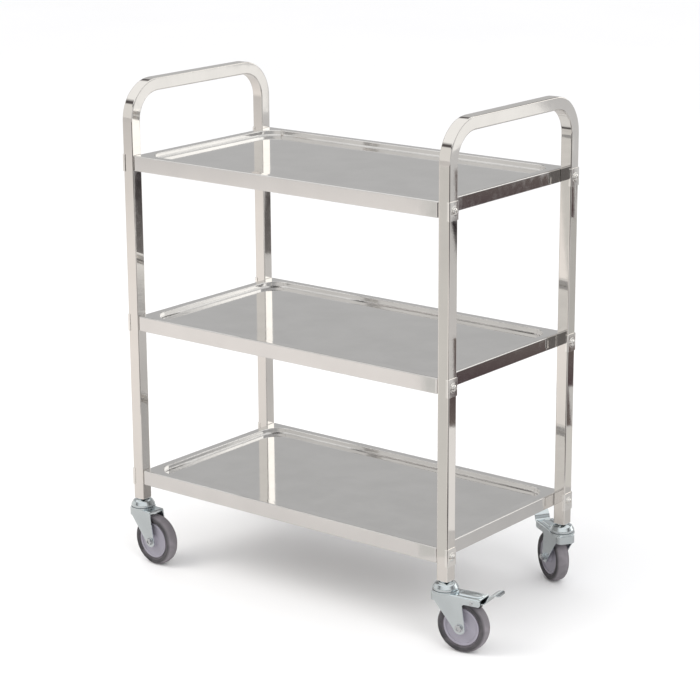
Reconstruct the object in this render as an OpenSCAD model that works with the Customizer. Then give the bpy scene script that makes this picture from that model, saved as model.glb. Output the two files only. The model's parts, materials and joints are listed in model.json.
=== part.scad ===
// Three-shelf stainless steel food service trolley on four swivel casters.
// Origin: on the floor, under the centre of the four posts.
// +X runs to the right end, +Y to the back, +Z up. All sizes are in millimetres.

/* [Overall] */
// Length of the trolley, over the outer faces of the posts
frame_length = 787; // [600:1:1000]
// Width of the trolley, over the outer faces of the posts
frame_width = 415; // [320:1:560]
// Height of the bottom shelf's rim above the floor
bottom_shelf_height = 195; // [180:1:260]
// Distance from one shelf's rim to the next
shelf_spacing = 323; // [220:1:380]
// Rise of the push handle above the top shelf's rim
handle_rise = 144; // [120:1:240]

/* [Tube] */
// Outer width of the square tube
tube_width = 25; // [20:1:32]
// Wall thickness of the square tube
tube_wall = 1.2; // [0.8:0.1:2]
// Outer radius of the tube's long edges
tube_edge_radius = 2.5; // [2:0.1:4]
// Outer radius of the two bends at the top of each end frame
handle_bend_radius = 78; // [50:1:90]

/* [Shelf] */
// Sheet thickness of the shelves
sheet = 1.2; // [0.8:0.1:2]
// Height of the front and back skirts
skirt_height = 30; // [26:1:40]
// How much shorter the two end skirts are
end_skirt_cut = 3; // [1:0.5:5]
// Width of the flat rim round the recessed floor
rim_width = 18; // [14:1:30]
// Depth of the recessed floor below the rim
recess_depth = 10; // [6:1:14]
// Plan radius of the recess corners
recess_corner_radius = 40; // [15:1:60]
// Plan radius of the shelf's own corners
shelf_corner_radius = 5; // [3:0.5:10]
// Radius of the bend from the rim down into the skirt
shelf_edge_radius = 2.5; // [2:0.1:4]
// Width of the lip folded inwards under the front and back skirts
hem_width = 9; // [5:1:14]

/* [Shelf fixings] */
// Nominal diameter of the shelf bolts
bolt_diameter = 6; // [5:0.5:8]
// Radial clearance of a bolt in its holes
bolt_clearance = 0.3; // [0.2:0.1:0.5]
// Head diameter of the shelf bolts
bolt_head_diameter = 13; // [11:0.5:16]
// Head height of the shelf bolts
bolt_head_height = 3.6; // [3:0.1:5]
// Depth of the bolt's axis below the shelf's rim
bolt_drop = 16; // [13:0.5:20]
// Height of the saddle clip under each bolt head
clip_height = 34; // [28:1:40]
// Thickness of the saddle clip
clip_thickness = 1.5; // [1:0.1:2.5]
// How far the saddle clip's lips wrap round the tube
clip_lip = 5; // [3:0.5:8]
// Diameter of the raised seat in the middle of the clip
clip_seat_diameter = 19; // [17:0.5:22]

/* [Wheel] */
// Diameter of the wheels over the tread
wheel_diameter = 102; // [80:1:110]
// Width of the tyre
tyre_width = 28; // [24:1:32]
// Diameter of the wheel hub, inside the tyre
hub_diameter = 73; // [60:1:76]
// Width of the hub's disc
hub_disc_width = 22; // [16:1:24]
// Diameter of the hub's boss
boss_diameter = 22; // [18:1:28]
// Diameter of the axle bolt
axle_diameter = 8; // [6:0.5:10]
// Wall thickness of the steel bush on the axle
bush_wall = 2; // [1.5:0.1:3]
// Radial running clearance of the hub on its bush
running_clearance = 0.05; // [0.02:0.01:0.1]

/* [Caster] */
// Height of the upper raceway cap, from the top of its balls to the post
cap_height = 14.9; // [12:0.1:20]
// Trail of the wheel's axle behind the swivel axis
caster_trail = 38; // [34:1:44]
// Inside width of the fork
fork_gap = 34; // [33:1:38]
// Sheet thickness of the fork
fork_sheet = 2.5; // [2:0.1:3]
// Radius of the fork's round crown and raceway
crown_radius = 25; // [23:0.5:28]
// Space between the fork's crown plate and the tyre
crown_gap = 8.5; // [7:0.5:12]
// Diameter of the upper raceway balls
ball_diameter = 5; // [4:0.5:5]
// Diameter of the swivel stem
stem_diameter = 10; // [8:0.5:12]
// Length of the caster insert inside each post
insert_length = 32; // [25:1:40]
// Trail direction of the front left caster, measured from +X towards +Y
yaw_front_left = -4; // [-180:1:180]
// Trail direction of the front right caster
yaw_front_right = 8; // [-180:1:180]
// Trail direction of the back right caster
yaw_back_right = 148; // [-180:1:180]
// Trail direction of the back left caster
yaw_back_left = 28; // [-180:1:180]

/* [Brake] */
// Distance from the swivel axis to the brake pedal's pivot
brake_pivot_reach = 62; // [58:1:66]
// Distance from the swivel axis to the tip of the brake pedal
pedal_reach = 117; // [114:1:126]
// Gap between the brake shoe and the tread while the brake is off
shoe_gap = 3; // [2.8:0.1:4]
// Width of the pedal's foot plate
pedal_width = 32; // [26:1:33]
// Thickness of the pedal's sheet
pedal_sheet = 2; // [1.5:0.1:2.5]
// Radial running clearance of the pedal on its pin
pin_clearance = 0.08; // [0.02:0.01:0.1]

/* [Hidden] */
$fn = 48;
eps = 0.01;
ARC_STEPS = 8;

// Tube positions
post_x = frame_length / 2 - tube_width / 2;
post_y = frame_width / 2 - tube_width / 2;
tube_bore = tube_width - 2 * tube_wall;
bore_edge_radius = tube_edge_radius - tube_wall;
top_shelf_height = bottom_shelf_height + 2 * shelf_spacing;
frame_height = top_shelf_height + handle_rise;
bend_centre_radius = handle_bend_radius - tube_width / 2;
shelf_heights = [bottom_shelf_height, bottom_shelf_height + shelf_spacing, top_shelf_height];

// Shelf positions
shelf_side_inset = 1.2;
shelf_x = frame_length / 2 - tube_width;
shelf_y = frame_width / 2 - shelf_side_inset;
recess_lip_radius = 2;
recess_fillet_radius = 3;

// Fixing positions
bolt_r = bolt_diameter / 2;
bolt_hole_r = bolt_r + bolt_clearance;
clip_seat_rise = 1;
clip_face = frame_length / 2 + clip_thickness + clip_seat_rise;
nut_across_corners = 2 * bolt_r * 1.9;
nut_height = 5;
bolt_overrun = 2;
socket_across_corners = bolt_diameter * 0.75;
socket_depth = 2.2;
bolt_dome_radius = bolt_head_diameter * 0.62;

// Caster heights and widths
wheel_r = wheel_diameter / 2;
hub_r = hub_diameter / 2;
crown_bottom = wheel_diameter + crown_gap;
crown_top = crown_bottom + fork_sheet;
ball_gap = 0.05;
ball_r = ball_diameter / 2;
cap_bottom = crown_top + ball_diameter + 2 * ball_gap;
foot_height = cap_bottom + cap_height;
fork_half = fork_gap / 2;
leg_outer = fork_half + fork_sheet;
ball_ring_radius = crown_radius - 8;
race_lip_height = 2.2;
race_lip_gap = 0.6;
cap_rim_bottom = crown_top + race_lip_height + race_lip_gap;
cap_radius = crown_radius - 1;
cap_neck_radius = cap_radius * 0.55;
cap_rim_height = 2;
cap_rim_wall = 2;
collar_height = 2.5;
collar_radius = tube_width * 0.44;
lower_ball_r = 1.2;
lower_ball_ring = 8.5;
head_top = crown_bottom - 2 * (lower_ball_r + ball_gap);
head_height = 4;
head_radius = 11;
stem_r = stem_diameter / 2;
stem_hole_r = stem_r + 0.4;
stem_tip_gap = 2;
boss_gap = 0.4;
axle_r = axle_diameter / 2;
axle_eye_r = axle_r + 8;
bush_r = axle_r + bush_wall;
axle_head_height = 5;
axle_head_r = axle_r * 1.75;
axle_nut_height = 6.5;
axle_overrun = 2.5;

// Brake positions, seen from the side of the wheel
cheek_end = brake_pivot_reach + 18;
cheek_bottom = crown_bottom - 12;
pivot_height = crown_bottom - 6.5;
pin_r = 2.5;
pin_head_r = pin_r * 1.6;
pin_head_height = 1.5;
pedal_side_gap = 0.6;
pedal_half = fork_half - pedal_side_gap;
pedal_floor = pivot_height - 0.5;
pedal_ear_r = 5;
pedal_dip_r = 12;
pedal_crest_r = 16;
pedal_rise_angle = 74;
pedal_droop_angle = 25;
pedal_flat_end = pedal_reach - (pedal_dip_r + pedal_crest_r + pedal_sheet) * sin(pedal_rise_angle)
    - (pedal_crest_r + pedal_sheet) * sin(pedal_droop_angle);
shoe_start = brake_pivot_reach + 4;
shoe_length = 7;

// Plan position and trail direction of each caster
FL = [-post_x, -post_y, yaw_front_left];
FR = [post_x, -post_y, yaw_front_right];
BR = [post_x, post_y, yaw_back_right];
BL = [-post_x, post_y, yaw_back_left];
PLACES = [FL, FR, BR, BL];

// ---------------------------------------------------------------- outlines

// Square with rounded corners, centred on the origin
module rounded_square(width, radius) {
    inner = width - 2 * radius;
    square([width, inner], center = true);
    square([inner, width], center = true);
    for (sx = [-1, 1], sy = [-1, 1])
        translate([sx * inner / 2, sy * inner / 2]) circle(r = radius);
}

// Cross-section of the square tube
module tube_section() {
    difference() {
        rounded_square(tube_width, tube_edge_radius);
        rounded_square(tube_bore, bore_edge_radius);
    }
}

// A body whose half section, from its corner centre outwards, follows the
// children, carried round a rectangle of corner centres 2*half_x by 2*half_y
module sweep_round(half_x, half_y, low, high) {
    for (sx = [-1, 1], sy = [-1, 1])
        translate([sx * half_x, sy * half_y, 0]) rotate_extrude() children();
    for (side = [0, 180]) rotate([0, 0, side]) {
        translate([half_x, half_y, 0]) rotate([90, 0, 0]) linear_extrude(2 * half_y) children();
        translate([-half_x, half_y, 0]) rotate([90, 0, 90]) linear_extrude(2 * half_x) children();
    }
    translate([-half_x - eps, -half_y - eps, low])
        cube([2 * (half_x + eps), 2 * (half_y + eps), high - low]);
}

// Half section of a slab with its upper edge rounded
module rounded_top(reach, low, high, edge) {
    translate([0, low]) square([reach, high - low - edge]);
    translate([0, low]) square([reach - edge, high - low]);
    translate([reach - edge, high - edge]) circle(r = edge);
}

// Half section of a pocket: rounded at the bottom, flared at its mouth
module pocket_section(reach, depth, fillet, flare) {
    translate([0, -depth + fillet]) square([reach, depth - fillet + 1]);
    translate([0, -depth]) square([reach - fillet, depth + 1]);
    translate([reach - fillet, -depth + fillet]) circle(r = fillet);
    difference() {
        translate([0, -flare]) square([reach + flare, flare + 1]);
        translate([reach + flare, -flare]) circle(r = flare);
        translate([reach + flare, -2 * flare]) square(3 * flare);
    }
}

// Ring between two radii
module ring(outer, inner, height) {
    difference() {
        cylinder(r = outer, h = height);
        translate([0, 0, -1]) cylinder(r = inner, h = height + 2);
    }
}

// Children copied to the posts of one end: side is -1 left, 1 right
module at_posts(side) {
    for (sy = [-1, 1]) translate([side * post_x, sy * post_y, 0]) children();
}

// Children copied to every shelf bolt of one end, with +X pointing outwards
module at_bolts(side) {
    for (z = shelf_heights, sy = [-1, 1])
        translate([0, sy * post_y, z - bolt_drop]) rotate([0, 0, side > 0 ? 0 : 180]) children();
}

// Children placed at one caster, with +X along its trail
module at_caster(place) {
    translate([place[0], place[1], 0]) rotate([0, 0, place[2]]) children();
}

// ---------------------------------------------------------------- frame

// One inverted U of square tube: two posts and the push handle between them
module end_frame(side) {
    straight = frame_height - handle_bend_radius - foot_height;
    color("lightgray") difference() {
        union() {
            at_posts(side) translate([0, 0, foot_height]) linear_extrude(straight) tube_section();
            for (turn = [0, 180])
                translate([side * post_x, 0, foot_height + straight]) rotate([0, 0, turn])
                translate([0, post_y - bend_centre_radius, 0]) rotate([90, 0, 90])
                rotate_extrude(angle = 90) translate([bend_centre_radius, 0]) tube_section();
            translate([side * post_x, post_y - bend_centre_radius, frame_height - tube_width / 2])
                rotate([90, 0, 0]) linear_extrude(2 * (post_y - bend_centre_radius)) tube_section();
        }
        at_bolts(side) translate([frame_length / 2 - tube_width - 1, 0, 0]) rotate([0, 90, 0])
            cylinder(r = bolt_hole_r, h = tube_width + 2);
    }
}

// ---------------------------------------------------------------- shelves

// One pressed tray: flat rim, recessed floor, turned-down skirts and folded hems
module shelf(height) {
    corner_x = shelf_x - shelf_corner_radius;
    corner_y = shelf_y - shelf_corner_radius;
    recess_x = shelf_x - rim_width - recess_corner_radius;
    recess_y = shelf_y - rim_width - recess_corner_radius;
    under = recess_depth + sheet;
    color("silver") translate([0, 0, height]) difference() {
        union() {
            difference() {
                sweep_round(corner_x, corner_y, -skirt_height, 0)
                    rounded_top(shelf_corner_radius, -skirt_height, 0, shelf_edge_radius);
                sweep_round(corner_x, corner_y, -skirt_height + sheet, -sheet)
                    rounded_top(shelf_corner_radius - sheet, -skirt_height + sheet, -sheet,
                        shelf_edge_radius - sheet);
                translate([-shelf_x + sheet, -shelf_y + hem_width, -skirt_height - 1])
                    cube([2 * (shelf_x - sheet), 2 * (shelf_y - hem_width), sheet + 2]);
                for (sx = [-1, 1])
                    translate([sx * shelf_x, 0, -skirt_height + end_skirt_cut / 2 - 1])
                        cube([2 * shelf_corner_radius, 2 * shelf_y + 2, end_skirt_cut + 2], center = true);
            }
            sweep_round(recess_x, recess_y, -under, -sheet / 2) {
                translate([0, -under])
                    square([recess_corner_radius - recess_fillet_radius, under - sheet / 2]);
                translate([0, -recess_depth + recess_fillet_radius])
                    square([recess_corner_radius + sheet, recess_depth - recess_fillet_radius - sheet / 2]);
                translate([recess_corner_radius - recess_fillet_radius, -recess_depth + recess_fillet_radius])
                    circle(r = recess_fillet_radius + sheet);
            }
        }
        sweep_round(recess_x, recess_y, -recess_depth, 1)
            pocket_section(recess_corner_radius, recess_depth, recess_fillet_radius, recess_lip_radius);
        for (sx = [-1, 1], sy = [-1, 1])
            translate([sx * shelf_x, sy * post_y, -bolt_drop]) rotate([0, 90, 0])
                cylinder(r = bolt_hole_r, h = 6 * sheet, center = true);
    }
}

// ---------------------------------------------------------------- fixings

// Pressed saddle that hugs the post's outer face, with a raised seat for the bolt
module saddle_clips(side) {
    lip_y = tube_width / 2;
    face = frame_length / 2;
    color("gainsboro") at_bolts(side) difference() {
        union() {
            translate([face, -lip_y - clip_thickness, -clip_height / 2])
                cube([clip_thickness, 2 * (lip_y + clip_thickness), clip_height]);
            for (sy = [-1, 1]) translate([face - clip_lip, 0, 0])
                translate([0, sy * (lip_y + clip_thickness / 2) - clip_thickness / 2, -clip_height / 2])
                    cube([clip_lip + clip_thickness, clip_thickness, clip_height]);
            translate([face, 0, 0]) rotate([0, 90, 0])
                cylinder(r = clip_seat_diameter / 2, h = clip_thickness + clip_seat_rise);
        }
        translate([face - 1, 0, 0]) rotate([0, 90, 0])
            cylinder(r = bolt_hole_r, h = clip_thickness + clip_seat_rise + 2);
    }
}

// Button-head socket screws through clip, post and shelf skirt
module shelf_bolts(side) {
    shank = clip_face - shelf_x + sheet + nut_height + bolt_overrun;
    color("whitesmoke") at_bolts(side) translate([clip_face, 0, 0]) rotate([0, 90, 0]) difference() {
        union() {
            intersection() {
                cylinder(r = bolt_head_diameter / 2, h = bolt_head_height);
                translate([0, 0, bolt_head_height - bolt_dome_radius]) sphere(r = bolt_dome_radius);
            }
            translate([0, 0, -shank]) cylinder(r = bolt_r, h = shank + eps);
        }
        translate([0, 0, bolt_head_height - socket_depth])
            cylinder(r = socket_across_corners / 2, h = socket_depth + 1, $fn = 6);
    }
}

// Hexagon nuts inside the shelf's end skirts
module shelf_nuts(side) {
    color("silver") at_bolts(side) translate([shelf_x - sheet - nut_height, 0, 0]) rotate([0, 90, 0])
        difference() {
            cylinder(r = nut_across_corners / 2, h = nut_height, $fn = 6);
            translate([0, 0, -1]) cylinder(r = bolt_r, h = nut_height + 2);
        }
}

// ---------------------------------------------------------------- casters

// Square plugs pressed into the posts, bored for the caster stems
module caster_inserts() {
    color("dimgray") for (place = PLACES) translate([place[0], place[1], foot_height]) difference() {
        linear_extrude(insert_length) rounded_square(tube_bore, bore_edge_radius);
        translate([0, 0, -1]) cylinder(r = stem_r, h = insert_length + 2);
    }
}

// Stem that joins the fork to the post; its lower head carries the fork
module stem(place) {
    head_bottom = head_top - head_height;
    color("lightsteelblue") at_caster(place) union() {
        translate([0, 0, head_bottom])
            cylinder(r = stem_r, h = foot_height + insert_length - stem_tip_gap - head_bottom);
        translate([0, 0, head_bottom]) cylinder(r = head_radius, h = head_height);
    }
}

// Domed upper raceway under the post
module race_cap(place) {
    shoulder = foot_height - collar_height;
    color("lightsteelblue") at_caster(place) difference() {
        union() {
            translate([0, 0, cap_rim_bottom])
                cylinder(r = cap_radius, h = cap_bottom + cap_rim_height - cap_rim_bottom);
            translate([0, 0, cap_bottom + cap_rim_height])
                cylinder(r1 = cap_radius, r2 = cap_neck_radius, h = shoulder - cap_bottom - cap_rim_height);
            translate([0, 0, shoulder - 1]) cylinder(r = collar_radius, h = collar_height + 1);
        }
        translate([0, 0, cap_rim_bottom - 1])
            cylinder(r = cap_radius - cap_rim_wall, h = cap_bottom - cap_rim_bottom + 1);
        translate([0, 0, cap_rim_bottom - 1]) cylinder(r = stem_r, h = foot_height);
    }
}

// Two rings of balls: one between cap and crown, one between crown and stem head
module balls(place) {
    upper_count = floor(PI * ball_ring_radius / (ball_r + 0.3));
    lower_count = floor(PI * lower_ball_ring / (lower_ball_r + 0.3));
    color("silver") at_caster(place) {
        for (i = [0 : upper_count - 1]) rotate([0, 0, 360 * i / upper_count])
            translate([ball_ring_radius, 0, crown_top + ball_gap + ball_r]) sphere(r = ball_r);
        for (i = [0 : lower_count - 1]) rotate([0, 0, 360 * i / lower_count])
            translate([lower_ball_ring, 0, crown_bottom - ball_gap - lower_ball_r])
                sphere(r = lower_ball_r);
    }
}

// Side outline of a fork leg: wide at the crown, slanted down to the axle eye
module leg_outline() {
    front = sqrt(crown_radius * crown_radius - leg_outer * leg_outer) - fork_sheet / 4;
    eye = [caster_trail, wheel_r];
    polygon([
        [-front, crown_top], [-front, crown_bottom - 9],
        eye + axle_eye_r * [-1.2, 0.2], eye + axle_eye_r * [-0.5, -0.92],
        eye + axle_eye_r * [1, -0.85], eye + axle_eye_r * [1.13, -0.4],
        [caster_trail + 3.5, crown_bottom - 21], [caster_trail + 2, crown_top]
    ]);
}

// Side outline of the cheeks that carry the brake pedal
module cheek_outline() {
    polygon([
        [0, crown_top], [0, cheek_bottom], [cheek_end - 3, cheek_bottom],
        [cheek_end, cheek_bottom + 3], [cheek_end, crown_bottom - 2], [cheek_end - 4, crown_top]
    ]);
}

// Pressed fork: round crown with its raceway lip, two legs and a closed front
// apron; on the braked casters the crown runs on as a housing over the wheel
module fork(place, braked) {
    wall = crown_radius - fork_sheet;
    apron_drop = 14;
    crown_end = braked ? cheek_end - 4 : caster_trail + 2;
    color("lightsteelblue") at_caster(place) difference() {
        union() {
            for (sy = [-1, 1]) translate([0, sy * (fork_half + fork_sheet / 2) + fork_sheet / 2, 0])
                rotate([90, 0, 0]) linear_extrude(fork_sheet) {
                    leg_outline();
                    if (braked) cheek_outline();
                }
            translate([0, 0, crown_bottom]) cylinder(r = crown_radius, h = fork_sheet);
            translate([0, -leg_outer, crown_bottom]) cube([crown_end, 2 * leg_outer, fork_sheet]);
            translate([0, 0, crown_top - 1]) ring(crown_radius, wall, race_lip_height + 1);
            intersection() {
                translate([0, 0, crown_bottom - apron_drop])
                    ring(crown_radius, wall, apron_drop + fork_sheet / 2);
                translate([-crown_radius - 1, -leg_outer, 0])
                    cube([crown_radius + 1, 2 * leg_outer, crown_top]);
            }
        }
        translate([0, 0, crown_bottom - 1]) cylinder(r = stem_hole_r, h = fork_sheet + 2);
        translate([caster_trail, 0, wheel_r]) rotate([90, 0, 0])
            cylinder(r = axle_r, h = 3 * fork_gap, center = true);
        if (braked) translate([brake_pivot_reach, 0, pivot_height]) rotate([90, 0, 0])
            cylinder(r = pin_r, h = 3 * fork_gap, center = true);
    }
}

// Axle bolt with its hexagon head on the near side of the fork
module axle(place) {
    color("silver") at_caster(place) translate([caster_trail, 0, wheel_r]) rotate([90, 0, 0]) {
        translate([0, 0, -leg_outer - axle_nut_height - axle_overrun])
            cylinder(r = axle_r, h = 2 * leg_outer + axle_nut_height + axle_overrun);
        translate([0, 0, leg_outer]) cylinder(r = axle_head_r, h = axle_head_height, $fn = 6);
    }
}

// Hexagon nut on the far end of the axle
module axle_nut(place) {
    color("silver") at_caster(place) translate([caster_trail, leg_outer + axle_nut_height, wheel_r])
        rotate([90, 0, 0]) difference() {
            cylinder(r = axle_head_r, h = axle_nut_height, $fn = 6);
            translate([0, 0, -1]) cylinder(r = axle_r, h = axle_nut_height + 2);
        }
}

// Steel bush clamped between the fork legs, on which the hub turns
module bush(place) {
    color("gray") at_caster(place) translate([caster_trail, fork_half, wheel_r]) rotate([90, 0, 0])
        ring(bush_r, axle_r, fork_gap);
}

// Plastic wheel centre: dished disc, rim flange and boss
module hub(place) {
    boss_half = fork_half - boss_gap;
    disc_half = hub_disc_width / 2;
    dish = 2;
    color("lightgray") at_caster(place) translate([caster_trail, 0, wheel_r]) rotate([90, 0, 0])
        rotate_extrude() difference() {
            union() {
                translate([0, -disc_half + dish]) square([hub_r, 2 * (disc_half - dish)]);
                translate([hub_r - 4, -disc_half]) square([4, 2 * disc_half]);
                translate([0, -boss_half]) square([boss_diameter / 2, 2 * boss_half]);
            }
            translate([0, -fork_gap]) square([bush_r + running_clearance, 2 * fork_gap]);
        }
}

// Rubber tyre with a crowned tread
module tyre(place) {
    half = tyre_width / 2;
    crown_depth = 4.5;
    tread_radius = (half * half + crown_depth * crown_depth) / (2 * crown_depth);
    color("dimgray") at_caster(place) translate([caster_trail, 0, wheel_r]) rotate([90, 0, 0])
        rotate_extrude() intersection() {
            translate([hub_r, -half]) square([wheel_r - hub_r, tyre_width]);
            translate([wheel_r - tread_radius, 0]) circle(r = tread_radius);
        }
}

// ---------------------------------------------------------------- brake

// Points of an arc round a centre, from one angle to another
function arc(centre, radius, start, end) =
    [for (i = [0 : ARC_STEPS]) centre + radius * [
        cos(start + (end - start) * i / ARC_STEPS),
        sin(start + (end - start) * i / ARC_STEPS)]];

// Side outline of the pedal's sheet: flat, swept up, then rolled over at the toe
module pedal_outline() {
    start = brake_pivot_reach + pedal_ear_r * 0.6;
    turn = pedal_rise_angle - 90;
    rolled = 90 - pedal_droop_angle;
    dip = [pedal_flat_end, pedal_floor + pedal_sheet + pedal_dip_r];
    crest = dip + (pedal_dip_r + pedal_sheet + pedal_crest_r) * [cos(turn), sin(turn)];
    polygon(concat(
        [[start, pedal_floor]],
        arc(dip, pedal_dip_r + pedal_sheet, -90, turn),
        arc(crest, pedal_crest_r, turn + 180, rolled),
        arc(crest, pedal_crest_r + pedal_sheet, rolled, turn + 180),
        arc(dip, pedal_dip_r, turn, -90),
        [[start, pedal_floor + pedal_sheet]]
    ));
}

// Foot pedal with two ears that turn on the pin
module brake_pedal(place) {
    color("lightsteelblue") at_caster(place) difference() {
        union() {
            translate([0, pedal_width / 2, 0]) rotate([90, 0, 0])
                linear_extrude(pedal_width) pedal_outline();
            for (sy = [-1, 1])
                translate([brake_pivot_reach, sy * (pedal_half - pedal_sheet / 2) + pedal_sheet / 2,
                        pivot_height]) rotate([90, 0, 0]) {
                    cylinder(r = pedal_ear_r, h = pedal_sheet);
                    translate([0, -pedal_ear_r * 0.8, 0])
                        cube([pedal_ear_r * 3, pedal_ear_r * 1.3, pedal_sheet]);
                }
        }
        translate([brake_pivot_reach, 0, pivot_height]) rotate([90, 0, 0])
            cylinder(r = pin_r + pin_clearance, h = 3 * fork_gap, center = true);
    }
}

// Rubber block under the pedal, hollowed to the tread's radius
module brake_shoe(place) {
    width = tyre_width / 2;
    color("dimgray") at_caster(place) difference() {
        translate([shoe_start, -width / 2, wheel_r])
            cube([shoe_length, width, pedal_floor - wheel_r]);
        translate([caster_trail, 0, wheel_r]) rotate([90, 0, 0])
            cylinder(r = wheel_r + shoe_gap, h = 2 * width, center = true);
    }
}

// Rivet on which the pedal turns
module brake_pin(place) {
    color("silver") at_caster(place) translate([brake_pivot_reach, 0, pivot_height]) rotate([90, 0, 0]) {
        cylinder(r = pin_r, h = 2 * leg_outer, center = true);
        for (side = [-1, 1]) translate([0, 0, side * (leg_outer + pin_head_height / 2)])
            cylinder(r = pin_head_r, h = pin_head_height, center = true);
    }
}

// ---------------------------------------------------------------- parts

end_frame(-1);  // left_end_frame
end_frame(1);  // right_end_frame
shelf(shelf_heights[0]);  // bottom_shelf
shelf(shelf_heights[1]);  // middle_shelf
shelf(shelf_heights[2]);  // top_shelf
saddle_clips(-1);  // left_saddle_clips
saddle_clips(1);  // right_saddle_clips
shelf_bolts(-1);  // left_shelf_bolts
shelf_bolts(1);  // right_shelf_bolts
shelf_nuts(-1);  // left_shelf_nuts
shelf_nuts(1);  // right_shelf_nuts
caster_inserts();
stem(FL);  // stem_front_left
stem(FR);  // stem_front_right
stem(BR);  // stem_back_right
stem(BL);  // stem_back_left
race_cap(FL);  // race_cap_front_left
race_cap(FR);  // race_cap_front_right
race_cap(BR);  // race_cap_back_right
race_cap(BL);  // race_cap_back_left
balls(FL);  // balls_front_left
balls(FR);  // balls_front_right
balls(BR);  // balls_back_right
balls(BL);  // balls_back_left
fork(FL, false);  // fork_front_left
fork(FR, true);  // fork_front_right
fork(BR, true);  // fork_back_right
fork(BL, false);  // fork_back_left
axle(FL);  // axle_front_left
axle(FR);  // axle_front_right
axle(BR);  // axle_back_right
axle(BL);  // axle_back_left
axle_nut(FL);  // axle_nut_front_left
axle_nut(FR);  // axle_nut_front_right
axle_nut(BR);  // axle_nut_back_right
axle_nut(BL);  // axle_nut_back_left
bush(FL);  // bush_front_left
bush(FR);  // bush_front_right
bush(BR);  // bush_back_right
bush(BL);  // bush_back_left
hub(FL);  // hub_front_left
hub(FR);  // hub_front_right
hub(BR);  // hub_back_right
hub(BL);  // hub_back_left
tyre(FL);  // tyre_front_left
tyre(FR);  // tyre_front_right
tyre(BR);  // tyre_back_right
tyre(BL);  // tyre_back_left
brake_pedal(FR);  // brake_pedal_front_right
brake_pedal(BR);  // brake_pedal_back_right
brake_shoe(FR);  // brake_shoe_front_right
brake_shoe(BR);  // brake_shoe_back_right
brake_pin(FR);  // brake_pin_front_right
brake_pin(BR);  // brake_pin_back_right
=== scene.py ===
import json
import math

import bmesh
import bpy
from mathutils import Matrix, Vector


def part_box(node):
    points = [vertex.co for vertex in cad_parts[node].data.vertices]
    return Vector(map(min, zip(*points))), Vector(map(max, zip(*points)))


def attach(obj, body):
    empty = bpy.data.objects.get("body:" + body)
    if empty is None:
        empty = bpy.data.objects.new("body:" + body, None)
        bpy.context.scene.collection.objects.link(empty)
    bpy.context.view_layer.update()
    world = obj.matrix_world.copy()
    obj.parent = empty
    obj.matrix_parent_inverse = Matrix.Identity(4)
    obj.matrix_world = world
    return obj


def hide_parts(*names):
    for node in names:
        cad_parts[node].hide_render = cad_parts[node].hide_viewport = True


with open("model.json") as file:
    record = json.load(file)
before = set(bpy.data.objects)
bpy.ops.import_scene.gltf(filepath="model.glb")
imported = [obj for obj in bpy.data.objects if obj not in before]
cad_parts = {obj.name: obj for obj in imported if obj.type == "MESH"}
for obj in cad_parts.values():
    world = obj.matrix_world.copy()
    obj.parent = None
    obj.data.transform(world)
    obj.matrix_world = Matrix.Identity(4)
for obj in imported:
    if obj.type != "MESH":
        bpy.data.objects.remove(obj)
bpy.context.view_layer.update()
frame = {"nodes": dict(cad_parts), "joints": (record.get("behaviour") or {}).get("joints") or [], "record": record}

MM = 0.001
SHARP_ANGLE = math.radians(35)
# A lathed shank starts at this radius, because a ring of points can't close on the axis.
CORE = 0.2 * MM

# ------------------------------------------------------------------ sizes from the frame

post_low, post_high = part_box("right_end_frame")
TUBE = post_high.x - post_low.x
POST_X = post_high.x - TUBE / 2
POST_Y = post_high.y - TUBE / 2
FRAME_TOP = post_high.z
FOOT = post_low.z
TUBE_WALL = 1.2 * MM
TUBE_EDGE = 2.5 * MM
OUTER_BEND = 78 * MM
BEND_RADIUS = OUTER_BEND - TUBE / 2

SHEET = 1.2 * MM
SHELVES = ("bottom_shelf", "middle_shelf", "top_shelf")
RIM = 18 * MM
RECESS_RADIUS = 40 * MM
BOLT_DROP = 16 * MM

WHEEL_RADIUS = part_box("tyre_front_left")[1].z / 2
CASTERS = ("front_left", "front_right", "back_right", "back_left")
BRAKED = ("front_right", "back_right")
JOINTS = {joint["name"]: joint for joint in frame["joints"]}
MOUNT_HEIGHTS = {mount["name"]: mount["pos_m"][2] for mount in frame["record"]["mounts"]}


# ------------------------------------------------------------------ mesh helpers

def finish_piece(mesh_data, name, body, replaced, slot, place=None):
    """Turns a bmesh into a shaded piece that rides on a body and stands for CAD nodes.
    Its finish is the material slot's; place is where its own coordinates lie, if not at the origin."""
    bmesh.ops.remove_doubles(mesh_data, verts=mesh_data.verts, dist=1e-7)
    bmesh.ops.recalc_face_normals(mesh_data, faces=mesh_data.faces)
    for face in mesh_data.faces:
        face.smooth = True
    for edge in mesh_data.edges:
        edge.smooth = len(edge.link_faces) != 2 or edge.calc_face_angle() < SHARP_ANGLE
    mesh = bpy.data.meshes.new(name)
    mesh_data.to_mesh(mesh)
    mesh_data.free()
    piece = bpy.data.objects.new(name, mesh)
    bpy.context.scene.collection.objects.link(piece)
    if place is not None:
        piece.matrix_world = place
    piece.data.materials.append(MATERIALS[slot])
    weighted = piece.modifiers.new("weighted", "WEIGHTED_NORMAL")
    weighted.keep_sharp = True
    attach(piece, body)
    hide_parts(*replaced)


def add_rings(mesh_data, rings, wrap=False, cap=False):
    """Joins equal rings of points with quads; wrap joins the last ring to the first."""
    made = [[mesh_data.verts.new(point) for point in ring] for ring in rings]
    count = len(made[0])
    pairs = list(zip(made, made[1:]))
    if wrap:
        pairs.append((made[-1], made[0]))
    for one, two in pairs:
        for i in range(count):
            j = (i + 1) % count
            mesh_data.faces.new((one[i], one[j], two[j], two[i]))
    if cap:
        mesh_data.faces.new(made[0])
        mesh_data.faces.new(list(reversed(made[-1])))


def full_turn(steps):
    """Angles once round a circle, in radians."""
    return [2 * math.pi * k / steps for k in range(steps)]


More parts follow.
